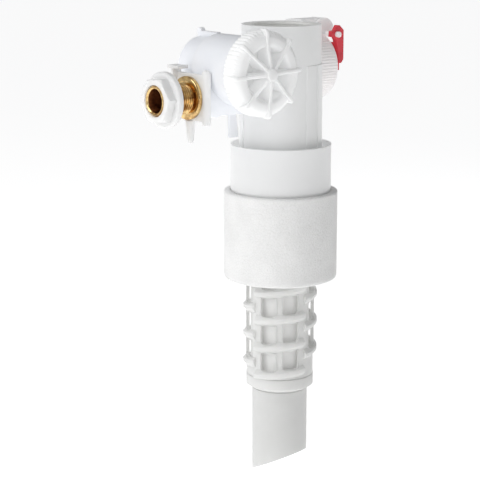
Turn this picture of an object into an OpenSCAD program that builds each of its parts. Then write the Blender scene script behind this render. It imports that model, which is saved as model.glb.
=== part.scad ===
// Float valve for a cistern: side inlet with a stop-valve hand wheel, a pilot valve worked by a
// lever and link rod, a ring float round the main tube, and a height-adjustable threaded foot.
// The inlet axis is the X axis. The origin lies on it inside the brass flange, whose outer face
// seats on the cistern wall.
// +Z is up, the main tube stands at +X from the seat, and the hand wheel faces -Y.

/* [Inlet] */
// Outside diameter of the inlet thread (G 3/8)
thread_d = 16.66; // [16:0.01:17]
// Distance from the origin to the front of the brass stub
stub_len = 22; // [18:1:26]
// Water bore of the brass stub
inlet_bore_d = 12.2; // [11:0.1:12.4]
// Diameter of the brass flange
brass_flange_d = 23; // [21:0.5:25]
// Width across the flats of the plastic nut
nut_af = 22; // [21:0.5:24]
// Diameter of the nut's round flange
nut_flange_d = 29.6; // [27:0.2:32]
// Distance from the origin to the nut's inner face
nut_gap = 14; // [10:0.2:16]

/* [Main tube] */
// Distance from the origin to the tube's axis
tube_x = 64.8; // [60:0.2:70]
// Outside diameter of the main tube
tube_d = 44; // [43:0.5:45]
// Wall of the main tube
tube_wall = 1.6; // [1.2:0.1:2]
// Height of the tube's rim above the inlet axis
tube_top = 35.5; // [33:0.5:38]
// Bore of the overflow tube inside it
overflow_d = 33.6; // [32:0.2:34]

/* [Stop valve] */
// Distance from the origin to the stop valve's axis
arm_x = 24.2; // [24:0.1:24.3]
// Height of the stop valve's axis above the inlet axis
arm_z = 13.7; // [12:0.1:15]
// Diameter of the valve chamber
arm_d = 37; // [34:0.2:37.2]
// Diameter of the hand wheel's knurled rim
wheel_d = 45; // [42:0.5:46]
// Distance the plunger travels to close
plunger_travel = 3.6; // [2:0.2:4]

/* [Pilot valve] */
// Diameter of the knurled union cap
cap_d = 38; // [34:0.5:39]
// Distance of the pilot valve's axis behind the tube's axis
pilot_y = 11; // [10.5:0.1:11.5]
// Height of the pilot valve's axis above the inlet axis
pilot_z = 9.9; // [9:0.1:11]

/* [Float] */
// Diameter of the foam float
float_d = 63.4; // [60:0.2:66]
// Height of the foam float
float_h = 49.6; // [44:0.2:52]
// Diameter of the ballast cup
cup_d = 55.8; // [55:0.2:56.4]
// Height of the ballast cup
cup_h = 26.8; // [22:0.2:28]
// Height of the cup's rim relative to the inlet axis
cup_top = -30.2; // [-34:0.2:-29]

/* [Foot] */
// Outside diameter of the threaded foot sleeve
sleeve_d = 37.6; // [37:0.2:38]
// Diameter over the sleeve's thread crests
crest_d = 41.8; // [41:0.2:42]
// Lead of the sleeve's thread
lead = 15.8; // [15:0.1:16.4]
// Outside diameter of the outlet pipe
pipe_d = 31.3; // [31:0.1:31.5]
// Height of the middle of the pipe's slanted end
pipe_end = -213.6; // [-220:0.2:-205]
// Slant of the pipe's end
cut_angle = 25.4; // [15:0.2:30]

/* [Hidden] */
$fn = 96;
eps = 0.02;          // overlap that joins solids of one piece
fit = 0.05;          // radial clearance of a running fit

// Inlet
thread_r = thread_d / 2;
bore_r = inlet_bore_d / 2;
seat_x = -1.6;                       // outer face of the brass flange
flange_t = 2.5;
plate_t = 3;                         // bracket plate behind it
plate_x = seat_x + flange_t;
boss_x = plate_x + plate_t;          // front of the inlet boss
spigot_r = 7.8;                      // plain end of the stub inside the boss
stub_back = 9;                       // inner end of the stub
seal_t = 1.2;
strainer_t = 1.4;
limiter_t = 1.4;
insert_r = 7.7;                      // strainer and flow limiter
pocket_end = stub_back + seal_t + strainer_t + limiter_t;
port_r = 3.5;                        // water way behind the limiter
relief = 0.35;                       // undercut in the flange's face round the thread
nut_flange_t = 3;
boss_r = 12;
boss_step_x = 17.2;
boss_thin_r = 11.4;
bracket_half = 12.5;
bracket_low = -11.9;
bracket_high = 12.8;
column_r = 2.35;                     // near edge of the bracket
column_x = 3.3;
column_y = -11.6;

// Stop valve
arm_r = arm_d / 2;
arm_front = -26.4;                   // chamber mouth
arm_back = 4;
rear_r = 16.4;
rear_end = 19.8;
chamber_r = 14.6;                    // front chamber, in front of the inlet
chamber_back = -16;
valve_r = 10;                        // valve bore and the cavity behind the seat
seat_y = -5;
seat_t = 2;
plug_y = 3.2;                        // front of the rear cover's plug
wheel_r = wheel_d / 2;
wheel_front = -34.7;
wheel_back = -26.8;
dish_z = -29.8;                      // floor of the wheel's dished face
hub_front = -41;
spindle_r = 3.2;
shank_r = 2.2;                       // spindle's end inside the hub
shank_end = -31;
gland_front = -27.8;
plunger_front = -21.6;               // plunger's stem end, towards the wheel
washer_t = 1.6;
plunger_back = seat_y - washer_t - plunger_travel;

// Main tube and what stands in it
tube_r = tube_d / 2;
low_r = 23.6;                        // wider lower barrel, hidden by cup and float
low_bore_r = crest_d / 2 + 0.3;
low_top = -36;
tube_bottom = -101;
rail_top = 14;
boss_clear = -12;                    // just below the inlet boss
feed_y = -8;                         // water way from the chamber to the tube
feed_z = -3;
feed_r = 2;
overflow_r = overflow_d / 2;
overflow_t = 1.1;
overflow_bottom = -44;

// Pilot valve
cap_r = cap_d / 2;
cap_back = 88;
cap_front = 101.8;
neck_r = 8;
housing_r = 13.5;
pivot_x = 103.1;
pivot_z = 27.8;
pin_r = 1.65;
rod_a = 58;                          // angle of the link rod round the tube
rod_reach = 25.4;                    // its distance from the tube's axis
rod_r = 1.2;
rod_x = tube_x + rod_reach * cos(rod_a);
rod_y = rod_reach * sin(rod_a);
arm_under = pivot_z - 0.6;           // underside of the lever's arm
rear_y = 20;                         // near face of the lever's rear ear
ear_t = 3;
lever_y0 = -3.5;                     // front face of the lever's near ear
lever_y1 = -0.5;                     // and its back face
pad_x = 105.4;                       // face of the lever that presses the pilot pin

// Float
cup_r = cup_d / 2;
cup_wall = 1.2;
cup_bottom = cup_top - cup_h;
float_r = float_d / 2;
float_top = cup_bottom + 0.8;
float_bottom = float_top - float_h;
sleeve_in = low_r + 0.4;             // bore of the cup's guide sleeve
sleeve_out = sleeve_in + 1.0;

// Foot
sleeve_r = sleeve_d / 2;
sleeve_t = 1.5;
crest_r = crest_d / 2;
crest_z = -126.6;                    // crest height at the middle of the front sector
sector_a = 228.4;                    // direction of the front sector's middle
rows = [-2:2];                       // thread rows from the lowest up
sleeve_top = -76;
sleeve_bottom = -161.5;
collar_r = 19;
collar_bottom = -167.7;
pipe_r = pipe_d / 2;
core_r = pipe_r - 0.5;                // pipe inside the collar, sleeve and tube
pipe_t = 1.6;
pipe_top = -8;
cut_a = 284;                         // direction of the pipe end's high side

module on_tube() { translate([tube_x, 0, 0]) children(); }
module on_arm(y = 0) { translate([arm_x, y, arm_z]) rotate([-90, 0, 0]) children(); }
module on_inlet(x = 0) { translate([x, 0, 0]) rotate([0, 90, 0]) children(); }
module on_pilot(x = 0) { translate([x, pilot_y, pilot_z]) rotate([0, 90, 0]) children(); }

// Plain ring from z0 to z1
module ring(ro, ri, z0, z1) {
    translate([0, 0, z0]) difference() {
        cylinder(r = ro, h = z1 - z0);
        translate([0, 0, -1]) cylinder(r = ri, h = z1 - z0 + 2);
    }
}

// Solid of revolution about Z from (radius, height) points
module turned(points) { rotate_extrude() polygon(points); }

// O-ring of mean radius r and cord radius c
module o_ring(r, c) { rotate_extrude() translate([r, 0]) circle(r = c, $fn = 48); }

// ---- Inlet ----

// Brass stub: threaded front, flange, and a plain spigot pushed into the boss
module inlet_stub() {
    color("goldenrod") on_inlet() turned([
        [bore_r, -stub_len + 0.6], [bore_r + 0.6, -stub_len], [thread_r - 1, -stub_len],
        [thread_r, -stub_len + 1], [thread_r, seat_x + relief], [thread_r + relief, seat_x + relief],
        [thread_r + relief, seat_x], [brass_flange_d / 2 - 0.4, seat_x],
        [brass_flange_d / 2, seat_x + 0.4], [brass_flange_d / 2, plate_x], [spigot_r, plate_x],
        [spigot_r, stub_back], [bore_r, stub_back]]);
}

// Flat rubber seal between the stub's end and the boss's shoulder
module inlet_seal() {
    color("dimgray") on_inlet() ring(spigot_r, bore_r + 0.5, stub_back, stub_back + seal_t);
}

module inlet_nut() {
    color("white") on_inlet() difference() {
        union() {
            translate([0, 0, -stub_len]) rotate([0, 0, 24]) intersection() {
                cylinder(r = nut_af / 2 / cos(30), h = stub_len - nut_gap - 1, $fn = 6);
                cylinder(r1 = nut_af / 2 + 0.5, r2 = nut_af / 2 + 12, h = 11.5);
            }
            turned([[0, -nut_gap - nut_flange_t], [nut_flange_d / 2 - 0.8, -nut_gap - nut_flange_t],
                    [nut_flange_d / 2, -nut_gap - nut_flange_t + 0.8],
                    [nut_flange_d / 2, -nut_gap], [0, -nut_gap]]);
        }
        translate([0, 0, -stub_len - 1]) cylinder(r = thread_r + fit, h = stub_len);
    }
}

// Fibre slip washer that the nut presses on the cistern wall
module nut_washer() {
    color("tan") on_inlet() ring(12.6, thread_r + fit, -nut_gap, -nut_gap + 1);
}

// Disc strainer with a rim, behind the stub
module inlet_strainer() {
    color("whitesmoke") on_inlet(stub_back + seal_t) difference() {
        cylinder(r = insert_r, h = strainer_t);
        for (i = [-2:2], j = [-2:2])
            if (i * i + j * j < 7)
                translate([i * 2.3, j * 2.3, -1]) cylinder(r = 0.75, h = 4, $fn = 24);
    }
}

// Disc with one throttling hole
module flow_limiter() {
    color("gainsboro") on_inlet(pocket_end - limiter_t) ring(insert_r, 2, 0, limiter_t);
}

// Wall bracket: plate, rounded near column, far web with a lip, and a locating pin
module inlet_bracket() {
    color("white") difference() {
        union() {
            translate([plate_x, column_y, bracket_low])
                cube([plate_t, bracket_half - column_y, bracket_high - bracket_low]);
            translate([column_x, column_y, -13.6]) cylinder(r = column_r, h = 26.6);
            translate([column_x, column_y, 13]) sphere(r = column_r, $fn = 48);
            translate([-1.5, bracket_half - 2, bracket_low])
                cube([plate_x + plate_t + 1.5, 2, 28.5]);
            translate([-3, bracket_half - 8, bracket_low + 28.5 - 1.6]) cube([7, 9.2, 1.6]);
            translate([plate_x + plate_t / 2 - 0.7, 0, bracket_low + eps]) mirror([0, 0, 1]) {
                cylinder(r1 = 2.7, r2 = 1.7, h = 11);
                translate([0, 0, 11]) sphere(r = 1.7, $fn = 48);
            }
        }
        on_inlet(plate_x - 1) cylinder(r = spigot_r, h = plate_t + 2);
        on_inlet(plate_x - 8) cylinder(r = brass_flange_d / 2 + 0.1, h = 8);
        on_inlet(boss_x) cylinder(r = boss_r, h = 2 * column_r);
    }
}

// ---- Stop valve ----

// Moulded chamber across the top, the inlet boss below it, and a gusset under the boss
module valve_chamber() {
    color("white") difference() {
        union() {
            on_arm(arm_front) cylinder(r = arm_r, h = arm_back - arm_front);
            on_inlet(boss_x) cylinder(r = boss_r, h = boss_step_x - boss_x);
            on_inlet(boss_step_x - eps) cylinder(r = boss_thin_r, h = tube_x - tube_r - boss_step_x + 4);
            translate([27.6, -0.9, -23.8]) rotate([90, 0, 0]) mirror([0, 0, 1])
                linear_extrude(1.8) polygon([[0, 0], [6.2, 0], [4.4, 14], [0, 14]]);
        }
        on_tube() cylinder(r = tube_r, h = 200, center = true);
        on_inlet(boss_x - 1) cylinder(r = spigot_r, h = pocket_end - boss_x + 1);
        on_inlet(boss_x) cylinder(r = port_r, h = arm_x - boss_x + 2);
        translate([arm_x, seat_y + seat_t + 2, 0]) cylinder(r = 2, h = arm_z);
        translate([30, feed_y, feed_z]) cylinder(r = feed_r, h = 14);
        translate([28, feed_y, feed_z]) rotate([0, 90, 0]) cylinder(r = feed_r, h = 30);
        on_arm(arm_front - 1) cylinder(r = chamber_r, h = chamber_back - arm_front + 1);
        on_arm(chamber_back - 1) cylinder(r = valve_r, h = seat_y - chamber_back + 1);
        on_arm(seat_y - 1) cylinder(r = 5, h = seat_t + 2);
        on_arm(seat_y + seat_t) cylinder(r = valve_r, h = 20);
    }
}

// Rear cover: a plug in the chamber's back, a cap saddled over the boss, and a rib on top
module rear_cover() {
    color("white") difference() {
        union() {
            difference() {
                union() {
                    on_arm(arm_back) cylinder(r = rear_r, h = rear_end - arm_back - 1);
                    on_arm(rear_end - 1 - eps) cylinder(r1 = rear_r, r2 = rear_r - 1, h = 1);
                }
                on_inlet() cylinder(r = boss_r + fit, h = boss_step_x);
                on_inlet(boss_step_x - eps) cylinder(r = boss_thin_r + fit, h = rear_r + arm_x - boss_step_x);
            }
            on_arm(plug_y) cylinder(r = valve_r - fit, h = rear_end - plug_y - 2);
            translate([arm_x - 1.3, arm_back, arm_z + rear_r - 1])
                cube([2.6, rear_end + 1.2 - arm_back, 3.6]);
            translate([arm_x - 1.3, rear_end - 0.6, arm_z + rear_r + 2.2])
                rotate([0, 90, 0]) cylinder(r = 2.2, h = 2.6);
        }
        on_arm(plug_y - 1) cylinder(r = valve_r - 3, h = rear_end - plug_y - 1.6);
    }
}

module rear_cover_seal() {
    color("dimgray") on_arm(plug_y - 2) ring(valve_r, valve_r - 2.4, 0, 2);
}

// Hand wheel: knurled rim, rounded lip, dished face and eight ribs from the hub
module hand_wheel() {
    rim_w = wheel_back - wheel_front;
    color("white") on_arm() difference() {
        union() {
            turned([[arm_r + 0.6, wheel_back], [wheel_r, wheel_back], [wheel_r, wheel_front + 1.2],
                    [wheel_r - 1.6, wheel_front - 0.8], [14.6, wheel_front - 2.2],
                    [13.4, wheel_front - 1.6], [12.6, dish_z], [0, dish_z],
                    [0, gland_front - 0.4], [arm_r + 0.6, gland_front - 0.4]]);
            translate([0, 0, hub_front]) cylinder(r1 = 2.2, r2 = 5, h = dish_z + eps - hub_front);
            for (i = [0:7]) rotate([0, 0, i * 45 - 2.5]) wheel_rib();
        }
        for (i = [0:59]) rotate([0, 0, i * 6])
            translate([wheel_r + 0.35, 0, wheel_front + 1.4]) cylinder(r = 0.8, h = rim_w, $fn = 16);
        translate([0, 0, wheel_front - 3]) cylinder(r = shank_r + fit, h = 8);
        translate([0, 0, shank_end]) cylinder(r = spindle_r + fit, h = 8);
    }
}

// One radial rib, from the hub past the rim
module wheel_rib() {
    rotate([90, 0, 0]) translate([0, 0, -0.75]) linear_extrude(1.5)
        polygon([[0, dish_z + eps], [0, hub_front + 0.6], [13.5, wheel_front - 3.3],
                 [wheel_r - 0.6, wheel_front - 3], [wheel_r + 1, wheel_front - 1.8],
                 [wheel_r + 1, wheel_front + 2.2], [wheel_r - 0.6, dish_z + eps]]);
}

// Spindle: squared into the wheel's hub, with a screw end inside the plunger
module spindle() {
    color("lightgray") on_arm() union() {
        translate([0, 0, wheel_front - 2.8]) cylinder(r = shank_r, h = shank_end + 0.2 - wheel_front + 2.8);
        translate([0, 0, shank_end + 0.2 - eps]) cylinder(r = spindle_r, h = plunger_back - 2.6 - shank_end);
        translate([0, 0, arm_front + 2.9]) cylinder(r = 4.8, h = 1.4);
    }
}

// Bush that closes the chamber's mouth and carries the spindle
module gland_bush() {
    color("gainsboro") on_arm() difference() {
        union() {
            translate([0, 0, gland_front]) cylinder(r = arm_r - 0.6, h = arm_front - gland_front);
            translate([0, 0, arm_front - eps]) cylinder(r = chamber_r - fit, h = 2.7);
        }
        translate([0, 0, gland_front - 1]) cylinder(r = spindle_r + fit, h = 10);
        translate([0, 0, arm_front + 0.4]) cylinder(r = spindle_r + 2, h = 4);
    }
}

module spindle_o_ring() {
    color("dimgray") on_arm(arm_front + 1.4) o_ring(spindle_r + 1.02, 0.96);
}

// Plunger: a keyed cup that the spindle's screw drives to the seat
module shutoff_plunger() {
    color("gainsboro") on_arm() difference() {
        union() {
            translate([0, 0, plunger_front]) cylinder(r = 7, h = plunger_back - plunger_front);
            translate([0, 0, plunger_back - 3]) cylinder(r = valve_r - 0.4, h = 3);
        }
        translate([0, 0, plunger_front - 1]) cylinder(r = spindle_r + fit, h = plunger_back - plunger_front - 1);
        for (a = [0:90:270]) rotate([0, 0, a + 45])
            translate([valve_r - 0.4, 0, plunger_back - 5]) cylinder(r = 2.2, h = 8);
    }
}

module shutoff_washer() {
    color("dimgray") on_arm(plunger_back) cylinder(r = 8, h = washer_t);
}

// ---- Main tube ----

// Outer tube with guide rails, a wider lower barrel and the link rod's guide eye
module main_tube() {
    color("white") on_tube() difference() {
        union() {
            translate([0, 0, low_top]) cylinder(r = tube_r, h = tube_top - low_top);
            translate([0, 0, tube_bottom]) cylinder(r = low_r, h = low_top - tube_bottom);
            rail(135, 27, 23.4, boss_clear);
            rail(292, 38, 22.7, rail_top);
            rail(268, 22, 22.35, rail_top);
            rotate([0, 0, rod_a]) translate([tube_r - 1, -2.4, -6]) cube([rod_reach - tube_r + 3.2, 4.8, 4]);
        }
        translate([0, 0, low_top + 2]) cylinder(r = tube_r - tube_wall, h = 200);
        translate([0, 0, low_top - eps]) cylinder(r1 = low_bore_r, r2 = tube_r - tube_wall, h = 2 + 2 * eps);
        translate([0, 0, tube_bottom - 1]) cylinder(r = low_bore_r, h = low_top - tube_bottom + 1);
        rotate([0, 0, rod_a]) translate([rod_reach, 0, -8]) cylinder(r = rod_r + 0.1, h = 8);
        translate([-tube_r, feed_y, feed_z]) rotate([0, 90, 0]) cylinder(r = feed_r, h = 20, center = true);
        translate([tube_r, pilot_y, pilot_z]) rotate([0, 90, 0]) cylinder(r = 3, h = 24, center = true);
    }
}

// Raised strip on the tube, a degrees wide from angle a0, up to radius r
module rail(a0, a, r, top) {
    rotate([0, 0, a0]) translate([0, 0, low_top - 2]) rotate_extrude(angle = a)
        translate([tube_r - 0.5, 0]) square([r - tube_r + 0.5, top - low_top + 2]);
}

// Overflow tube inside the main tube, with a flange at the rim and three webs below it
module overflow_tube() {
    color("whitesmoke") on_tube() union() {
        ring(overflow_r + overflow_t, overflow_r, overflow_bottom, tube_top - 0.4);
        ring(tube_r - tube_wall - 0.15, overflow_r - 0.8, tube_top - 1.6, tube_top - 0.1);
        for (a = [0, 120, 240]) rotate([0, 0, a + 322]) translate([0, 0, tube_top - 9])
            rotate_extrude(angle = 16) translate([overflow_r + overflow_t - eps, 0])
                square([tube_r - tube_wall - overflow_r - overflow_t, 8.2]);
    }
}

// ---- Pilot valve ----

// Housing: neck from the tube, diaphragm chamber, bridge and the lug that holds the lever's pin
module pilot_housing() {
    color("white") difference() {
        union() {
            on_pilot(tube_x + 12) cylinder(r = neck_r, h = 12);
            on_pilot(cap_back + 0.4) cylinder(r = housing_r, h = 5);
            translate([tube_x + 15, 6.5, tube_top - 9]) cube([21, 8.5, 9.9]);
            translate([tube_x + 16, 9, pilot_z + neck_r - 2]) cube([6, 4, 12]);
            translate([101, 5, tube_top - 6]) rotate([-90, 0, 0]) cylinder(r = 7.1, h = 10);
            translate([101, 15 - eps, tube_top - 6]) rotate([-90, 0, 0])
                cylinder(r1 = 7.1, r2 = 5.2, h = 3);
        }
        on_tube() cylinder(r = tube_r, h = 200, center = true);
        on_pilot(cap_back - 0.5) cylinder(r = cap_r + 0.4, h = 40);
        on_pilot(tube_x) cylinder(r = 3, h = 60);
        translate([pivot_x, 0, pivot_z]) rotate([-90, 0, 0]) cylinder(r = pin_r, h = 30);
    }
    color("white") on_pilot(cap_back - 1) ring(housing_r, 3, 0, 6);
}

// Knurled union cap with a domed front and a bore for the pilot pin
module union_cap() {
    color("white") on_pilot() difference() {
        turned([[0, cap_back + 6.4], [housing_r + 0.1, cap_back + 6.4], [housing_r + 0.1, cap_back],
                [cap_r, cap_back], [cap_r, cap_front - 2.2], [cap_r - 2.2, cap_front],
                [0, cap_front]]);
        translate([0, 0, cap_back + 4]) cylinder(r = 11, h = 5);
        translate([0, 0, cap_back]) cylinder(r = 1.6, h = 40);
        for (i = [0:71]) rotate([0, 0, i * 5])
            translate([cap_r + 0.25, 0, cap_back - 1]) cylinder(r = 0.6, h = 20, $fn = 16);
    }
}

module diaphragm() {
    color("dimgray") on_pilot(cap_back + 5.02) cylinder(r = housing_r - 0.2, h = 1.36);
}

// Pilot pin slides in the cap and ends against the lever's pad
module pilot_pin() {
    color("gainsboro") on_pilot() union() {
        translate([0, 0, cap_back + 10.4]) cylinder(r = 1.55, h = pad_x - 1.1 - cap_back - 10.4);
        translate([0, 0, pad_x - 1.1 - eps]) cylinder(r1 = 1.55, r2 = 0.5, h = 1);
    }
}

// Pivot pin through the lug and both ears of the lever
module lever_pin() {
    color("white") translate([pivot_x, lever_y0 - 1.8, pivot_z]) rotate([-90, 0, 0])
        cylinder(r = pin_r, h = 28.1);
}

// Red lever: front ear, pressing pad before the cap, and a rear ear with the arm over the link rod
module pilot_lever() {
    ear_x = pivot_x + 4.9;
    color("red") difference() {
        union() {
            translate([0, lever_y1, 0]) rotate([90, 0, 0]) linear_extrude(lever_y1 - lever_y0) polygon([
                [pivot_x - 4.1, pivot_z - 1.3], [pivot_x - 3.8, pivot_z + 1.9], [pivot_x - 1.4, pivot_z + 2.2],
                [pivot_x + 0.4, pivot_z + 5], [pivot_x + 1.8, pivot_z + 5], [ear_x, pivot_z + 2.2],
                [ear_x, pivot_z - 14.2], [ear_x - 1.6, pivot_z - 16.2], [pad_x - 0.6, pivot_z - 16.2],
                [pivot_x - 0.2, pivot_z - 5], [pivot_x - 0.8, pivot_z - 3], [pivot_x - 2, pivot_z - 1.3]]);
            translate([pad_x, lever_y1 - eps, pivot_z - 20.5]) cube([2.2, rear_y + ear_t - lever_y1, 15.5]);
            translate([0, rear_y + ear_t, 0]) rotate([90, 0, 0]) linear_extrude(ear_t) polygon([
                [rod_x - 2.4, arm_under], [rod_x - 2.4, arm_under + 2.2], [rod_x, arm_under + 2.8],
                [pivot_x - 1, pivot_z + 3.2], [pivot_x + 1.6, pivot_z + 3.2], [pad_x + 2.2, pivot_z - 1],
                [pad_x + 2.2, pivot_z - 8], [pad_x, pivot_z - 8], [pivot_x + 1, pivot_z - 3.4],
                [pivot_x - 1.6, pivot_z - 2.4], [pivot_x - 3.2, arm_under]]);
        }
        translate([pivot_x, -10, pivot_z]) rotate([-90, 0, 0]) cylinder(r = pin_r + fit, h = 40);
    }
}

// ---- Float ----

// Link rod stands in the cup's floor and lifts the lever
module link_rod() {
    color("whitesmoke") translate([rod_x, rod_y, cup_bottom + 2.2]) union() {
        cylinder(r = rod_r, h = arm_under - 0.8 - cup_bottom - 2.2);
        translate([0, 0, arm_under - 0.8 - cup_bottom - 2.2 - eps]) cylinder(r1 = rod_r, r2 = 0.5, h = 0.7);
    }
}

// Ballast cup with an open ring-shaped mouth and a guide sleeve down through the float
module float_cup() {
    color("white") on_tube() turned([
        [sleeve_in, float_bottom + 1], [sleeve_in, cup_bottom + 2.2],
        [cup_r - cup_wall, cup_bottom + 2.2], [cup_r - cup_wall, cup_top],
        [cup_r, cup_top], [cup_r, cup_bottom + 2], [cup_r - 0.6, cup_bottom + 0.6],
        [cup_r - 2, cup_bottom], [sleeve_out, cup_bottom], [sleeve_out, float_bottom + 1]]);
}

// Foam ring float with rounded edges
module foam_float() {
    e = 2.6;
    color("whitesmoke") on_tube() rotate_extrude() difference() {
        union() {
            translate([sleeve_out + 0.1, float_bottom]) square([float_r - e - sleeve_out - 0.1, float_h]);
            translate([sleeve_out + 0.1, float_bottom + e]) square([float_r - sleeve_out - 0.1, float_h - 2 * e]);
            translate([float_r - e, float_bottom + e]) circle(r = e, $fn = 48);
            translate([float_r - e, float_top - e]) circle(r = e, $fn = 48);
        }
        translate([0, cup_bottom - 0.01]) square([cup_r + 0.5, 5]);
        translate([0, float_bottom - 1]) square([sleeve_out + 2.2, 5]);
    }
}

// Split-ring retainer that holds the float on the cup's sleeve
module float_retainer() {
    color("white") on_tube() ring(sleeve_out + 2, sleeve_out, float_bottom + 1.2, float_bottom + 3.9);
}

// ---- Foot ----

// Cuts what lies outside a sector a degrees wide round direction 0
module sector(a, r, z0, z1) {
    translate([0, 0, z0]) linear_extrude(z1 - z0)
        polygon([[0, 0], [2 * r * cos(a / 2), -2 * r * sin(a / 2)], [2 * r * cos(a / 2), 2 * r * sin(a / 2)]]);
}

// One quarter of a thread turn: a ring tilted by the thread's rise, cut to its sector
module ridge(z) {
    tilt = atan(lead / (PI * (sleeve_r + crest_r)));
    intersection() {
        translate([0, 0, z]) rotate([tilt, 0, 0]) rotate_extrude() polygon([
            [sleeve_r - 0.6, -3.2], [sleeve_r, -3], [crest_r, -0.9], [crest_r, 0.9],
            [sleeve_r, 3], [sleeve_r - 0.6, 3.2]]);
        sector(89, crest_r, z - 8, z + 8);
    }
}

// Rise of the thread at a sector's middle; every other sector is half a lead out of step
function sector_rise(s) = lead * ((s / 4 + (s % 2) / 2) % 1);

// Sleeve with four sectors of thread, each with two windows between its ridges
module foot_sleeve() {
    color("white") on_tube() difference() {
        union() {
            translate([0, 0, sleeve_bottom]) cylinder(r = sleeve_r, h = sleeve_top - sleeve_bottom);
            for (s = [0:3], k = rows) rotate([0, 0, sector_a + s * 90])
                ridge(crest_z + lead * k + sector_rise(s));
        }
        translate([0, 0, sleeve_bottom - 20]) cylinder(r = crest_r + 1, h = 20);
        translate([0, 0, sleeve_bottom + 2]) cylinder(r = sleeve_r - sleeve_t, h = 200);
        translate([0, 0, sleeve_bottom - 1]) cylinder(r = core_r + 0.08, h = 4);
        for (s = [0:3], k = rows, w = [-1, 1]) rotate([0, 0, sector_a + s * 90 + 19.2 * w])
            window(crest_z + lead * k + sector_rise(s) + 7.3 + w * 0.8);
    }
}

// Window with a square top and round lower corners
module window(z) {
    w = 8.8;
    h = 11;
    translate([10, 0, z]) rotate([90, 0, 90]) linear_extrude(20) union() {
        translate([-w / 2, -h / 2 + 2]) square([w, h - 2]);
        translate([-w / 2 + 2, -h / 2]) square([w - 4, 3]);
        for (s = [-1, 1]) translate([s * (w / 2 - 2), -h / 2 + 2]) circle(r = 2, $fn = 48);
    }
}

// Outlet pipe with a slanted end
module outlet_pipe() {
    color("whitesmoke") on_tube() difference() {
        union() {
            translate([0, 0, pipe_end - 20]) cylinder(r = core_r, h = pipe_top - pipe_end + 20);
            translate([0, 0, pipe_end - 20]) cylinder(r = pipe_r, h = collar_bottom - 2.5 - pipe_end + 20);
            translate([0, 0, sleeve_bottom + 2.2]) cylinder(r = pipe_r + 0.9, h = 1.2);
        }
        translate([0, 0, pipe_end - 30]) cylinder(r = pipe_r - pipe_t, h = 300);
        ring(40, pipe_r - 0.9, pipe_top - 4.4, pipe_top - 2.4);
        translate([0, 0, pipe_end]) rotate([0, 0, cut_a]) rotate([0, -cut_angle, 0])
            translate([-50, -50, -60]) cube([100, 100, 60]);
    }
}

// Collar under the sleeve, with a chamfered lower edge
module collar_ring() {
    color("white") on_tube() turned([
        [core_r, sleeve_bottom - 0.2], [core_r, collar_bottom - 1.9], [pipe_r + 0.1, collar_bottom - 1.9],
        [collar_r, collar_bottom], [collar_r, sleeve_bottom - 0.2]]);
}

// O-ring that seals the outlet pipe in the overflow tube
module pipe_o_ring() {
    color("dimgray") on_tube() translate([0, 0, pipe_top - 3.4]) o_ring(pipe_r - 0.9 + 1.02, 0.98);
}

inlet_stub();
inlet_seal();
inlet_nut();
nut_washer();
inlet_strainer();
flow_limiter();
inlet_bracket();
valve_chamber();
rear_cover();
rear_cover_seal();
hand_wheel();
spindle();
gland_bush();
spindle_o_ring();
shutoff_plunger();
shutoff_washer();
main_tube();
overflow_tube();
pilot_housing();
union_cap();
diaphragm();
pilot_pin();
lever_pin();
pilot_lever();
link_rod();
float_cup();
foam_float();
float_retainer();
foot_sleeve();
outlet_pipe();
collar_ring();
pipe_o_ring();
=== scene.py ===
"""Looks of the float valve: finer meshes for the visible pieces and a procedural material for each.

Metres, in the frame's own axes: X is the inlet axis, +Z is up, and the origin lies inside the
inlet's brass flange.
"""

import math

import bmesh
import bpy
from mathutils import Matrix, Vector, noise


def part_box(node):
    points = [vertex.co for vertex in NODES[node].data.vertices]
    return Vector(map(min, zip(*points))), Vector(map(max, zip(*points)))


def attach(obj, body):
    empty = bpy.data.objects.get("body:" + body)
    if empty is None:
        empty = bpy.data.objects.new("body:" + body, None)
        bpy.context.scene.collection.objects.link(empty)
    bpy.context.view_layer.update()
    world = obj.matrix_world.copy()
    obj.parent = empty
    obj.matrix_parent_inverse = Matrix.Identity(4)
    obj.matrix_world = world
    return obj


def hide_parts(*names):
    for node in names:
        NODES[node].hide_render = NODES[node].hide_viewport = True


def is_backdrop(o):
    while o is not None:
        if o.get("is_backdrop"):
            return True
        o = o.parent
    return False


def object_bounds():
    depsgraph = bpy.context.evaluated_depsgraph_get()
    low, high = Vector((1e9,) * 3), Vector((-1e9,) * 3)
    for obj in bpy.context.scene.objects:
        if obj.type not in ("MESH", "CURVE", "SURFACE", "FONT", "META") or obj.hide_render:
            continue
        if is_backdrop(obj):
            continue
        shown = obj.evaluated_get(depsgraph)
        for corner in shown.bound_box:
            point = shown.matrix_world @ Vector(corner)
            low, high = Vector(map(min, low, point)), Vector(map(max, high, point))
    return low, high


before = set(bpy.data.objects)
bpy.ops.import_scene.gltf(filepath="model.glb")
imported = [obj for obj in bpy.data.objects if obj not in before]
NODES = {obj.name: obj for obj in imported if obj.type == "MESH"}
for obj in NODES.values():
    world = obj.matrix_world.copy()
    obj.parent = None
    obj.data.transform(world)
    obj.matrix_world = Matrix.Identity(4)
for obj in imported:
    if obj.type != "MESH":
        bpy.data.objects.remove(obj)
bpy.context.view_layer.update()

MM = 0.001
TAU = 2 * math.pi


# ---- Places taken from the frame ----

def centre(name):
    low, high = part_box(name)
    return (Vector(low) + Vector(high)) / 2


TUBE = centre("foam_float")
TUBE_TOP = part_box("main_tube")[1][2]
ARM = centre("gland_bush")
INLET_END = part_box("inlet_stub")[0][0]
COLLAR_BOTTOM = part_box("collar_ring")[0][2]
COLLAR_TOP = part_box("collar_ring")[1][2]

# ---- Sizes ----

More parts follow.
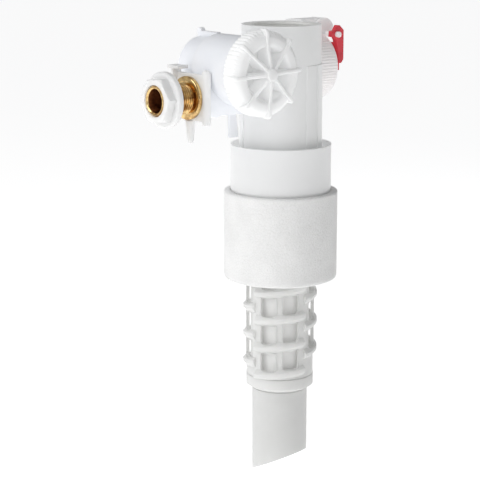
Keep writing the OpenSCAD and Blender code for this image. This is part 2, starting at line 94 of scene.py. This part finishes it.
# Brass inlet stub: G 3/8 thread, and a flange whose back face lies against the bracket's plate
THREAD_PITCH = 1.337 * MM
THREAD_DEPTH = 0.8 * MM
THREAD_R = 8.33 * MM
BORE_R = 6.1 * MM
FLANGE_T = 2.5 * MM
FLANGE_BACK = 0.9 * MM
SPIGOT_R = 7.8 * MM

# Hand wheel, with depths measured from its back face
RIM_R = 22.5 * MM
RIM_DEPTH = 7.9 * MM
SKIRT_R = 19.1 * MM
WHEEL_SKIN = 1.4 * MM
DISH_DEPTH = 3.0 * MM
SHANK_R = 2.25 * MM
BUSH_POCKET_R = 3.25 * MM
BUSH_POCKET_Y = -31.05 * MM
AXIS_R = 0.0002 * MM  # nearly zero, where the lathed outline meets the axis
KNURLS = 60
KNURL_DEPTH = 0.75 * MM
RIBS = 8
RIB_TURN = 2.5
RIB_HALF = 1.0 * MM

# Foam float
FOAM_BORE_R = 25.1 * MM
FOAM_RECESS_R = 28.4 * MM
FOAM_RECESS_DEPTH = 0.81 * MM
FOAM_REBATE_R = 27.2 * MM
FOAM_REBATE_DEPTH = 4.0 * MM

# Foot sleeve: four thread sectors with two windows in each sector and row
SECTOR = math.radians(228.4)
LEAD = 15.8 * MM
CREST_Z = -126.6 * MM
SLEEVE_R = 18.9 * MM
WINDOW_TURN = 19.2
WINDOW_ABOVE_CREST = 7.3 * MM
WINDOW_STAGGER = 0.8 * MM
WINDOW_HALF_W = 4.75 * MM
WINDOW_HALF_H = 5.7 * MM
WINDOW_TOP_CORNER = 0.8 * MM
WINDOW_CORNER = 2.4 * MM
BEAD_R = 0.42 * MM

# Camera: turn and pitch in degrees, lens in millimetres, distances in metres
CAMERA_TURN = -39.5
CAMERA_PITCH = 12.2
CAMERA_LENS = 120.4
CAMERA_DISTANCE = 0.88
CAMERA_ABOVE_RIM = 0.0696
CAMERA_LEFT = 0.0226

# Studio: the floor, and the surround's strength at the camera's left and right
FLOOR_DROP = 0.06
FLOOR_REACH = 40.0
WORLD_LEFT = 0.52
WORLD_RIGHT = 0.04


# ---- Node material helpers ----

def new_material(name, color, roughness, **inputs):
    """A Principled material with constants on its own sockets, as (material, tree, shader)."""
    material = bpy.data.materials.new(name)
    material.use_nodes = True
    tree = material.node_tree
    shader = tree.nodes["Principled BSDF"]
    shader.inputs["Base Color"].default_value = (*color, 1)
    shader.inputs["Roughness"].default_value = roughness
    for key, value in inputs.items():
        shader.inputs[key.replace("_", " ")].default_value = value
    return material, tree, shader


def node(tree, kind, **values):
    made = tree.nodes.new(kind)
    for key, value in values.items():
        if key in made.inputs:
            made.inputs[key].default_value = value
        else:
            setattr(made, key, value)
    return made


def object_coordinates(tree, scale=(1, 1, 1)):
    source = node(tree, "ShaderNodeTexCoord")
    mapping = node(tree, "ShaderNodeMapping")
    mapping.inputs["Scale"].default_value = scale
    tree.links.new(source.outputs["Object"], mapping.inputs["Vector"])
    return mapping.outputs["Vector"]


def noise_value(tree, vector, scale, detail=3.0, roughness=0.55):
    made = node(tree, "ShaderNodeTexNoise", Scale=scale, Detail=detail, Roughness=roughness)
    tree.links.new(vector, made.inputs["Vector"])
    return made.outputs["Fac"]


def ramp(tree, value, low, high, color_low, color_high):
    made = node(tree, "ShaderNodeValToRGB")
    made.color_ramp.elements[0].position = low
    made.color_ramp.elements[1].position = high
    made.color_ramp.elements[0].color = (*color_low, 1)
    made.color_ramp.elements[1].color = (*color_high, 1)
    tree.links.new(value, made.inputs["Fac"])
    return made.outputs["Color"]


def vary_roughness(tree, shader, value, low, high):
    made = node(tree, "ShaderNodeMapRange")
    made.inputs["To Min"].default_value = low
    made.inputs["To Max"].default_value = high
    tree.links.new(value, made.inputs["Value"])
    tree.links.new(made.outputs["Result"], shader.inputs["Roughness"])


def add_bump(tree, shader, layers, edge=0.0):
    """Stacks bump layers (value, strength, distance) on an edge rounding of the given radius."""
    normal = None
    if edge:
        rounding = node(tree, "ShaderNodeBevel", samples=6, Radius=edge)
        normal = rounding.outputs["Normal"]
    for value, strength, distance in layers:
        bump = node(tree, "ShaderNodeBump", Strength=strength, Distance=distance)
        tree.links.new(value, bump.inputs["Height"])
        if normal:
            tree.links.new(normal, bump.inputs["Normal"])
        normal = bump.outputs["Normal"]
    tree.links.new(normal, shader.inputs["Normal"])


# ---- Materials ----

def moulded_plastic(name, light, dark, roughness=0.34, scatter=0.6, edge=0.0004, painted_glow=0.05):
    """Moulded white plastic: cloudy tone, flow marks, fine texture, rounded edges, and a painted glow (a
    faint emission) that lightens its shade.
    """
    material, tree, shader = new_material(name, light, roughness, IOR=1.49, Specular_IOR_Level=0.35)
    shader.inputs["Subsurface Weight"].default_value = scatter
    shader.inputs["Subsurface Radius"].default_value = (1.0, 1.0, 1.0)
    shader.inputs["Subsurface Scale"].default_value = 0.006
    # Painted glow: a faint emission in the plastic's own tone, which lightens its shaded sides
    shader.inputs["Emission Color"].default_value = (*light, 1)
    shader.inputs["Emission Strength"].default_value = painted_glow
    place = object_coordinates(tree)
    stretched = object_coordinates(tree, (1, 1, 0.2))
    cloud = noise_value(tree, place, 45, 4)
    tree.links.new(ramp(tree, cloud, 0.35, 0.65, dark, light), shader.inputs["Base Color"])
    vary_roughness(tree, shader, noise_value(tree, place, 160, 3), roughness - 0.06, roughness + 0.1)
    layers = [
        (noise_value(tree, stretched, 90, 2), 0.12, 0.0006),
        (noise_value(tree, place, 1800, 2), 0.05, 0.0002),
    ]
    add_bump(tree, shader, layers, edge)
    return material


def outlet_plastic():
    """The outlet pipe's plastic, painted lighter from the collar upward: painted light that lifts the shade
    inside the sleeve.
    """
    name, light, dark = "outlet_moulding", (0.64, 0.64, 0.632), (0.605, 0.607, 0.597)
    material = moulded_plastic(name, light, dark, 0.42, painted_glow=0.09)
    tree = material.node_tree
    shader = tree.nodes["Principled BSDF"]
    base_tone = shader.inputs["Base Color"].links[0].from_socket
    height = node(tree, "ShaderNodeSeparateXYZ")
    tree.links.new(object_coordinates(tree), height.inputs["Vector"])
    # Painted light: the base colour turns lighter from the collar's bottom to its top and stays light
    # above, to lift the shade inside the sleeve
    painted_light_mask = node(tree, "ShaderNodeMapRange")
    painted_light_mask.inputs["From Min"].default_value = COLLAR_BOTTOM
    painted_light_mask.inputs["From Max"].default_value = COLLAR_TOP
    tree.links.new(height.outputs["Z"], painted_light_mask.inputs["Value"])
    blend = node(tree, "ShaderNodeMix", data_type="RGBA")
    blend.inputs[7].default_value = (0.93, 0.93, 0.915, 1)
    tree.links.new(painted_light_mask.outputs["Result"], blend.inputs["Factor"])
    tree.links.new(base_tone, blend.inputs[6])
    tree.links.new(blend.outputs[2], shader.inputs["Base Color"])
    return material


def foam_beads():
    """Expanded polystyrene: flattened beads with thin dark seams, small dents and a dull skin."""
    material, tree, shader = new_material("foam_beads", (0.86, 0.86, 0.85), 0.7)
    shader.inputs["Subsurface Weight"].default_value = 0.25
    shader.inputs["Subsurface Radius"].default_value = (1.0, 1.0, 1.0)
    shader.inputs["Subsurface Scale"].default_value = 0.003
    place = object_coordinates(tree)
    cells = node(tree, "ShaderNodeTexVoronoi", feature="DISTANCE_TO_EDGE", Scale=700)
    tree.links.new(place, cells.inputs["Vector"])
    seam = node(tree, "ShaderNodeMapRange")
    seam.inputs["From Max"].default_value = 0.12
    tree.links.new(cells.outputs["Distance"], seam.inputs["Value"])
    wide = object_coordinates(tree, (0.25, 0.25, 1))
    patch = noise_value(tree, place, 60, 4)
    tone = ramp(tree, patch, 0.3, 0.7, (0.84, 0.84, 0.835), (0.91, 0.91, 0.905))
    shade = node(tree, "ShaderNodeMix", data_type="RGBA", blend_type="MULTIPLY")
    shade.inputs["Factor"].default_value = 0.7
    tree.links.new(tone, shade.inputs[6])
    seam_tone = ramp(tree, seam.outputs["Result"], 0.0, 1.0, (0.93, 0.93, 0.925), (1, 1, 1))
    tree.links.new(seam_tone, shade.inputs[7])
    tree.links.new(shade.outputs[2], shader.inputs["Base Color"])
    layers = [
        (seam.outputs["Result"], 0.3, 0.0002),
        (noise_value(tree, place, 800, 3, 0.7), 0.8, 0.0005),
        (noise_value(tree, wide, 260, 3), 0.4, 0.0005),
        (noise_value(tree, place, 70, 2), 0.35, 0.0012),
    ]
    add_bump(tree, shader, layers)
    return material


def turned_brass(name, dark, light, gloss_low, gloss_high):
    """Turned brass: tool rings round the inlet axis, tarnish and small scratches."""
    material, tree, shader = new_material(name, light, gloss_low, Metallic=1.0)
    place = object_coordinates(tree)
    rings = object_coordinates(tree, (1, 0.02, 0.02))
    tarnish = noise_value(tree, place, 220, 5)
    tree.links.new(ramp(tree, tarnish, 0.36, 0.6, dark, light), shader.inputs["Base Color"])
    vary_roughness(tree, shader, tarnish, gloss_low, gloss_high)
    layers = [
        (noise_value(tree, rings, 2600, 2), 0.25, 0.0001),
        (noise_value(tree, place, 900, 3), 0.08, 0.0001),
    ]
    add_bump(tree, shader, layers, 0.00015)
    return material


def moulded_rubber():
    material, tree, shader = new_material("moulded_rubber", (0.03, 0.03, 0.032), 0.6)
    place = object_coordinates(tree)
    grain = noise_value(tree, place, 900, 3)
    tone = ramp(tree, grain, 0.3, 0.7, (0.02, 0.02, 0.022), (0.05, 0.05, 0.05))
    tree.links.new(tone, shader.inputs["Base Color"])
    vary_roughness(tree, shader, grain, 0.5, 0.7)
    add_bump(tree, shader, [(grain, 0.2, 0.0001)], 0.0002)
    return material


def red_plastic():
    material, tree, shader = new_material("red_plastic", (0.55, 0.004, 0.012), 0.3, IOR=1.5)
    shader.inputs["Coat Weight"].default_value = 0.2
    place = object_coordinates(tree)
    cloud = noise_value(tree, place, 130, 3)
    tone = ramp(tree, cloud, 0.3, 0.7, (0.62, 0.02, 0.04), (0.78, 0.035, 0.06))
    tree.links.new(tone, shader.inputs["Base Color"])
    vary_roughness(tree, shader, cloud, 0.24, 0.4)
    add_bump(tree, shader, [(noise_value(tree, place, 1500, 2), 0.06, 0.0002)], 0.0003)
    return material


def pressed_fibre():
    material, tree, shader = new_material("pressed_fibre", (0.5, 0.36, 0.22), 0.85)
    place = object_coordinates(tree, (1, 1, 6))
    strands = noise_value(tree, place, 700, 5, 0.7)
    tone = ramp(tree, strands, 0.35, 0.65, (0.36, 0.25, 0.14), (0.6, 0.45, 0.3))
    tree.links.new(tone, shader.inputs["Base Color"])
    vary_roughness(tree, shader, strands, 0.75, 0.95)
    add_bump(tree, shader, [(strands, 0.4, 0.0002)], 0.0002)
    return material


# The glow value of each plastic below is the strength of its painted glow, an emission that lightens its
# shade
CAP_WHITE = moulded_plastic(
    "cap_moulding", (0.93, 0.9, 0.9), (0.895, 0.87, 0.87), 0.4, edge=0.0008, painted_glow=0.12
)
WHITE = moulded_plastic("white_moulding", (0.94, 0.945, 0.945), (0.905, 0.91, 0.91), painted_glow=0.08)
NUT_WHITE = moulded_plastic("nut_moulding", (0.82, 0.82, 0.815), (0.78, 0.785, 0.785), 0.4, edge=0.0007)
BLUE_WHITE = moulded_plastic("bluish_moulding", (0.85, 0.865, 0.9), (0.82, 0.838, 0.88), 0.32)
TUBE_WHITE = moulded_plastic("tube_moulding", (0.88, 0.885, 0.885), (0.85, 0.858, 0.855), 0.3, painted_glow=0.08)
CUP_WHITE = moulded_plastic("cup_moulding", (0.89, 0.895, 0.895), (0.865, 0.87, 0.87), 0.38, painted_glow=0.08)
NATURAL = moulded_plastic("natural_moulding", (0.7, 0.7, 0.69), (0.665, 0.667, 0.655), 0.42, painted_glow=0.08)
INNER_PIPE = moulded_plastic("inner_moulding", (0.8, 0.8, 0.785), (0.75, 0.75, 0.73), 0.42, painted_glow=0.08)
PIPE_WHITE = outlet_plastic()
ACETAL = moulded_plastic("acetal", (0.8, 0.8, 0.77), (0.75, 0.75, 0.72), 0.4, 0.2)
FOAM = foam_beads()
BRASS = turned_brass("turned_brass", (0.4, 0.22, 0.08), (0.88, 0.64, 0.3), 0.11, 0.25)
BRASS_BORE = turned_brass("brass_bore", (0.07, 0.02, 0.008), (0.2, 0.07, 0.025), 0.4, 0.6)
RUBBER = moulded_rubber()
RED = red_plastic()
FIBRE = pressed_fibre()

LOOKS = {
    "inlet_stub": BRASS,
    "inlet_seal": RUBBER,
    "inlet_nut": NUT_WHITE,
    "nut_washer": FIBRE,
    "inlet_strainer": ACETAL,
    "flow_limiter": ACETAL,
    "inlet_bracket": NUT_WHITE,
    "valve_chamber": BLUE_WHITE,
    "rear_cover": BLUE_WHITE,
    "rear_cover_seal": RUBBER,
    "hand_wheel": WHITE,
    "spindle": ACETAL,
    "gland_bush": ACETAL,
    "spindle_o_ring": RUBBER,
    "shutoff_plunger": ACETAL,
    "shutoff_washer": RUBBER,
    "main_tube": TUBE_WHITE,
    "overflow_tube": INNER_PIPE,
    "pilot_housing": WHITE,
    "union_cap": CAP_WHITE,
    "diaphragm": RUBBER,
    "pilot_pin": ACETAL,
    "lever_pin": WHITE,
    "pilot_lever": RED,
    "link_rod": NATURAL,
    "float_cup": CUP_WHITE,
    "foam_float": FOAM,
    "float_retainer": WHITE,
    "foot_sleeve": NATURAL,
    "outlet_pipe": PIPE_WHITE,
    "collar_ring": NATURAL,
    "pipe_o_ring": RUBBER,
}


def dress_frame():
    """Gives every carried-over CAD node its material."""
    for name, material in LOOKS.items():
        mesh = NODES[name].data
        mesh.materials.clear()
        mesh.materials.append(material)
        for polygon in mesh.polygons:
            polygon.material_index = 0


# ---- Mesh helpers ----

def finish_mesh(bm, name, material, body, smooth_angle=40):
    bmesh.ops.recalc_face_normals(bm, faces=bm.faces)
    mesh = bpy.data.meshes.new(name)
    bm.to_mesh(mesh)
    bm.free()
    piece = bpy.data.objects.new(name, mesh)
    bpy.context.scene.collection.objects.link(piece)
    mesh.materials.append(material)
    mesh.shade_smooth()
    mesh.set_sharp_from_angle(angle=math.radians(smooth_angle))
    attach(piece, body)
    return piece


def lathe(bm, profile, place, segments=160, radius=None):
    """Closed ring of a profile's (radius, along) points; place(r, along, angle) gives each vertex.

    radius(r, along, angle), if given, changes the radius round the turn."""
    rings = []
    for i in range(segments):
        angle = TAU * i / segments
        ring = []
        for r, along in profile:
            turned = radius(r, along, angle) if radius else r
            ring.append(bm.verts.new(place(turned, along, angle)))
        rings.append(ring)
    count = len(profile)
    for i in range(segments):
        near, far = rings[i], rings[(i + 1) % segments]
        for j in range(count):
            k = (j + 1) % count
            bm.faces.new((near[j], far[j], far[k], near[k]))


def round_corners(points, radii, steps=5):
    """Replaces each corner of a closed outline by a smooth curve close to an arc of its radius."""
    out = []
    count = len(points)
    for i, point in enumerate(points):
        here = Vector(point)
        before, after = Vector(points[i - 1]), Vector(points[(i + 1) % count])
        to_before, to_after = (before - here), (after - here)
        r = radii[i]
        if r <= 0:
            out.append(tuple(here))
            continue
        half = to_before.angle(to_after) / 2
        cut = min(r / math.tan(half), to_before.length * 0.49, to_after.length * 0.49)
        start, end = here + to_before.normalized() * cut, here + to_after.normalized() * cut
        for step in range(steps + 1):
            t = step / steps
            out.append(tuple(start * (1 - t) ** 2 + here * 2 * t * (1 - t) + end * t ** 2))
    return out


def about_tube(r, along, angle):
    return Vector((TUBE.x + r * math.cos(angle), TUBE.y + r * math.sin(angle), along))


def about_arm(r, along, angle):
    return Vector((ARM.x + r * math.cos(angle), along, ARM.z + r * math.sin(angle)))


def about_inlet(r, along, angle):
    return Vector((along, r * math.cos(angle), r * math.sin(angle)))


# ---- Brass stub with its real thread ----

def build_stub():
    """Stub with a helical G 3/8 thread, turned flange and chamfered mouth."""
    low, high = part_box("inlet_stub")
    flange_r = (high[1] - low[1]) / 2
    back = high[0]
    seat = FLANGE_BACK - FLANGE_T
    neck = seat - 1.2 * MM
    thread_start = INLET_END + 1.2 * MM
    rows = 260
    outside = [(THREAD_R, thread_start + (neck - thread_start) * i / rows) for i in range(rows + 1)]

    def with_thread(r, along, angle):
        if r != THREAD_R:
            return r
        turn = (along / THREAD_PITCH + angle / TAU) % 1.0
        crest = abs(turn - 0.5) * 2
        return THREAD_R - THREAD_DEPTH * min(max((crest - 0.12) / 0.76, 0.0), 1.0)

    undercut_r = THREAD_R - THREAD_DEPTH * 1.1
    profile = [
        (BORE_R, back), (BORE_R, INLET_END + 0.8 * MM), (BORE_R + 0.8 * MM, INLET_END),
        (THREAD_R - 1.1 * MM, INLET_END), *outside,
        (undercut_r, neck + 0.1 * MM), (undercut_r, seat - 0.2 * MM),
        (THREAD_R + 0.6 * MM, seat), (flange_r - 0.4 * MM, seat), (flange_r, seat + 0.4 * MM),
        (flange_r, FLANGE_BACK - 0.3 * MM), (flange_r - 0.3 * MM, FLANGE_BACK),
        (SPIGOT_R, FLANGE_BACK), (SPIGOT_R, back),
    ]
    bm = bmesh.new()
    lathe(bm, profile, about_inlet, 96, with_thread)
    stub = finish_mesh(bm, "threaded_stub", BRASS, "body", 55)
    stub.data.materials.append(BRASS_BORE)
    for polygon in stub.data.polygons:
        middle = polygon.center
        if math.hypot(middle.y, middle.z) < BORE_R + 0.1 * MM:
            polygon.material_index = 1
    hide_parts("inlet_stub")


# ---- Hand wheel ----

def wheel_body():
    """Rim with soft knurls, a broad rounded lip and a dished face."""
    low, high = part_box("hand_wheel")
    back = high[1]
    front = back - RIM_DEPTH
    dish = back - DISH_DEPTH
    skin = back - WHEEL_SKIN
    hub = low[1] + 0.2 * MM
    shank_end = hub + 2.6 * MM
    outline = [
        (SKIRT_R, back), (RIM_R, back), (RIM_R, front + 0.5 * MM), (RIM_R - 3.4 * MM, front - 2.2 * MM),
        (14.2 * MM, front - 2.6 * MM), (12.6 * MM, dish), (5.2 * MM, dish), (3.8 * MM, hub + 1.6 * MM),
        (3.0 * MM, hub), (AXIS_R, hub), (AXIS_R, shank_end), (SHANK_R, shank_end),
        (SHANK_R, BUSH_POCKET_Y), (BUSH_POCKET_R, BUSH_POCKET_Y), (BUSH_POCKET_R, skin), (SKIRT_R, skin),
    ]
    radii = [0.2, 1.2, 2.4, 3.2, 2.4, 1.0, 0.8, 0.8, 0.8, 0, 0, 0, 0, 0, 0, 0.2]
    profile = round_corners(outline, [r * MM for r in radii], 5)
    smooth_r = RIM_R - 1.2 * MM

    def knurled(r, along, angle):
        if r < smooth_r:
            return r
        wave = 0.5 + 0.5 * math.cos(angle * KNURLS)
        depth = KNURL_DEPTH * min(max((r - smooth_r) / (1.0 * MM), 0), 1)
        return r - depth * wave ** 3

    bm = bmesh.new()
    lathe(bm, profile, about_arm, 480, knurled)
    return finish_mesh(bm, "wheel_body", WHITE, "wheel", 50)


def wheel_ribs():
    """Eight thin ribs that cross the dish and the lip and end in round tips past the rim."""
    low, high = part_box("hand_wheel")
    front = high[1] - RIM_DEPTH
    hub = low[1] + 0.4 * MM
    dish = high[1] - 2.6 * MM
    tip = (high[0] - low[0]) / 2 - 0.1 * MM
    side = [
        (0.5 * MM, hub + 0.2 * MM), (13.5 * MM, front - 3.5 * MM), (tip - 1.6 * MM, front - 3.0 * MM),
        (tip, front - 1.8 * MM), (tip, front + 2.4 * MM), (tip - 2.2 * MM, front + 3.4 * MM),
        (tip - 4.4 * MM, dish), (0.5 * MM, dish),
    ]
    outline = round_corners(side, [r * MM for r in (0, 2.5, 0.8, 1.4, 1.4, 1.0, 0, 0)], 5)
    bm = bmesh.new()
    for i in range(RIBS):
        turn = math.radians(360 / RIBS * i + RIB_TURN)
        across = Vector((-math.sin(turn), 0, math.cos(turn)))
        faces = []
        for sign in (-1, 1):
            offset = across * RIB_HALF * sign
            faces.append([bm.verts.new(about_arm(r, along, turn) + offset) for r, along in outline])
        bm.faces.new(faces[0])
        bm.faces.new(faces[1])
        for j in range(len(outline)):
            k = (j + 1) % len(outline)
            bm.faces.new((faces[0][j], faces[0][k], faces[1][k], faces[1][j]))
    ribs = finish_mesh(bm, "wheel_ribs", WHITE, "wheel", 35)
    rounding = ribs.modifiers.new("soft_edges", "BEVEL")
    rounding.width = 0.5 * MM
    rounding.segments = 3
    rounding.limit_method = "ANGLE"
    return ribs


def build_wheel():
    body = wheel_body()
    ribs = wheel_ribs()
    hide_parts("hand_wheel")
    ribs.parent = body
    ribs.matrix_parent_inverse = body.matrix_world.inverted()


# ---- Foam float ----

def build_float():
    """Foam ring with rounded edges, a beady surface and a few dents."""
    low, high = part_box("foam_float")
    outer = (high[0] - low[0]) / 2
    rebate = low[2] + FOAM_REBATE_DEPTH
    seat = high[2] - FOAM_RECESS_DEPTH
    outline = [
        (FOAM_BORE_R, rebate), (FOAM_REBATE_R, rebate), (FOAM_REBATE_R, low[2]), (outer, low[2]),
        (outer, high[2]), (FOAM_RECESS_R, high[2]), (FOAM_RECESS_R, seat), (FOAM_BORE_R, seat),
    ]
    radii = [0, 0, 0.8, 3.4, 1.1, 0.3, 0, 0]
    coarse = round_corners(outline, [r * MM for r in radii], 8)
    profile = []
    for i, point in enumerate(coarse):
        start, end = Vector(point), Vector(coarse[(i + 1) % len(coarse)])
        parts = max(1, int((end - start).length / (0.9 * MM)))
        profile += [tuple(start.lerp(end, j / parts)) for j in range(parts)]
    bm = bmesh.new()
    lathe(bm, profile, about_tube, 300)
    for vertex in bm.verts:
        reach = (vertex.co - Vector((TUBE.x, TUBE.y, vertex.co.z))).length
        if reach < FOAM_RECESS_R + 0.4 * MM:
            continue
        bead = noise.noise(vertex.co * 520) * 0.05 * MM
        dent = min(0, noise.noise(vertex.co * 90 + Vector((7, 3, 1))) + 0.45) * 0.5 * MM
        away = Vector((vertex.co.x - TUBE.x, vertex.co.y - TUBE.y, 0)).normalized()
        vertex.co += away * (bead + dent - 0.05 * MM)
    foam = finish_mesh(bm, "foam_ring", FOAM, "float", 80)
    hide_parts("foam_float")


# ---- Foot sleeve trim ----

def sector_rise(sector):
    """How far a sector's thread lies above that of sector 0, within one lead."""
    return LEAD * ((sector / 4 + (sector % 2) / 2) % 1)


def build_window_frames():
    """A raised bead round each window of the foot sleeve."""
    square = [
        (-WINDOW_HALF_W, WINDOW_HALF_H), (WINDOW_HALF_W, WINDOW_HALF_H),
        (WINDOW_HALF_W, -WINDOW_HALF_H), (-WINDOW_HALF_W, -WINDOW_HALF_H),
    ]
    corners = [WINDOW_TOP_CORNER, WINDOW_TOP_CORNER, WINDOW_CORNER, WINDOW_CORNER]
    outline = round_corners(square, corners, 6)
    for sector in range(4):
        for row in range(-2, 3):
            crest = CREST_Z + LEAD * row + sector_rise(sector)
            for side in (-1, 1):
                middle = SECTOR + math.radians(90 * sector + WINDOW_TURN * side)
                height = crest + WINDOW_ABOVE_CREST + side * WINDOW_STAGGER
                window_bead(f"window_bead_{sector}_{row + 2}_{side + 1}", outline, middle, height)


def window_bead(name, outline, middle, height):
    curve = bpy.data.curves.new(name, "CURVE")
    curve.dimensions = "3D"
    curve.bevel_depth = BEAD_R
    curve.bevel_resolution = 3
    line = curve.splines.new("POLY")
    line.points.add(len(outline) - 1)
    for point, (across, up) in zip(line.points, outline):
        angle = middle + across / SLEEVE_R
        point.co = (*about_tube(SLEEVE_R, height + up, angle), 1)
    line.use_cyclic_u = True
    bead = bpy.data.objects.new(name, curve)
    bpy.context.scene.collection.objects.link(bead)
    curve.materials.append(NATURAL)
    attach(bead, "foot")


# ---- Stage, light and camera ----

def build_stage():
    floor_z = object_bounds()[0].z - FLOOR_DROP
    mesh = bpy.data.meshes.new("floor")
    corners = [(x * FLOOR_REACH, y * FLOOR_REACH, floor_z) for x, y in ((-1, -1), (1, -1), (1, 1), (-1, 1))]
    mesh.from_pydata(corners, [], [(0, 1, 2, 3)])
    floor = bpy.data.objects.new("floor", mesh)
    bpy.context.scene.collection.objects.link(floor)
    material, tree, shader = new_material("pale_floor", (0.96, 0.96, 0.96), 0.9)
    shader.inputs["Emission Color"].default_value = (1, 1, 1, 1)
    shader.inputs["Emission Strength"].default_value = 0.68
    mesh.materials.append(material)
    floor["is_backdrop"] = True


def area_light(name, place, aim, width, energy):
    data = bpy.data.lights.new(name, "AREA")
    data.shape = "RECTANGLE"
    data.size = width
    data.size_y = width * 1.4
    data.energy = energy
    light = bpy.data.objects.new(name, data)
    light.location = place
    light.rotation_mode = "QUATERNION"
    light.rotation_quaternion = (Vector(aim) - Vector(place)).to_track_quat("-Z", "Y")
    bpy.context.scene.collection.objects.link(light)


def camera_frame():
    """The camera's right, its level forward direction, and the way that it looks."""
    turn, pitch = math.radians(CAMERA_TURN), math.radians(CAMERA_PITCH)
    right = Vector((math.cos(turn), math.sin(turn), 0))
    level = Vector((-math.sin(turn), math.cos(turn), 0))
    forward = level * math.cos(pitch) - Vector((0, 0, math.sin(pitch)))
    return right, level, forward


def build_camera():
    right, level, forward = camera_frame()
    data = bpy.data.cameras.new("camera")
    data.lens = CAMERA_LENS
    data.sensor_width = 36
    data.clip_start = 0.05
    data.clip_end = 120
    camera = bpy.data.objects.new("camera", data)
    rim = Vector((TUBE.x, TUBE.y, TUBE_TOP + CAMERA_ABOVE_RIM))
    camera.location = rim - level * CAMERA_DISTANCE - right * CAMERA_LEFT
    camera.rotation_mode = "QUATERNION"
    camera.rotation_quaternion = forward.to_track_quat("-Z", "Y")
    bpy.context.scene.collection.objects.link(camera)
    bpy.context.scene.camera = camera


def build_lights():
    """Soft light from the upper left, and a surround that is darker on the right."""
    right, level, forward = camera_frame()
    low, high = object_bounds()
    aim = (low + high) / 2
    top = Vector((TUBE.x, TUBE.y, TUBE_TOP))
    up = Vector((0, 0, 1))
    area_light("key", top - right * 0.6 - level * 0.4 + up * 0.5, top, width=0.55, energy=3.6)
    area_light("fill", aim + right * 0.2 - level * 1.2 + up * 0.4, aim, width=0.9, energy=1.5)
    area_light("rim", aim + right * 0.5 + level * 0.8 + up * 0.7, aim, width=0.6, energy=1.0)
    world = bpy.data.worlds.new("studio")
    world.use_nodes = True
    background = world.node_tree.nodes["Background"]
    background.inputs["Color"].default_value = (0.985, 0.99, 1.0, 1)
    tree = world.node_tree
    direction = node(tree, "ShaderNodeTexCoord")
    toward_right = node(tree, "ShaderNodeVectorMath", operation="DOT_PRODUCT")
    toward_right.inputs[1].default_value = right
    strength = node(tree, "ShaderNodeMapRange")
    strength.inputs["From Min"].default_value = -1
    strength.inputs["To Min"].default_value = WORLD_LEFT
    strength.inputs["To Max"].default_value = WORLD_RIGHT
    tree.links.new(direction.outputs["Generated"], toward_right.inputs[0])
    tree.links.new(toward_right.outputs["Value"], strength.inputs["Value"])
    tree.links.new(strength.outputs["Result"], background.inputs["Strength"])
    bpy.context.scene.world = world
    bpy.context.scene.view_settings.view_transform = "Standard"


dress_frame()
build_camera()
build_stub()
build_wheel()
build_float()
build_window_frames()
build_stage()
build_lights()

bpy.context.view_layer.update()
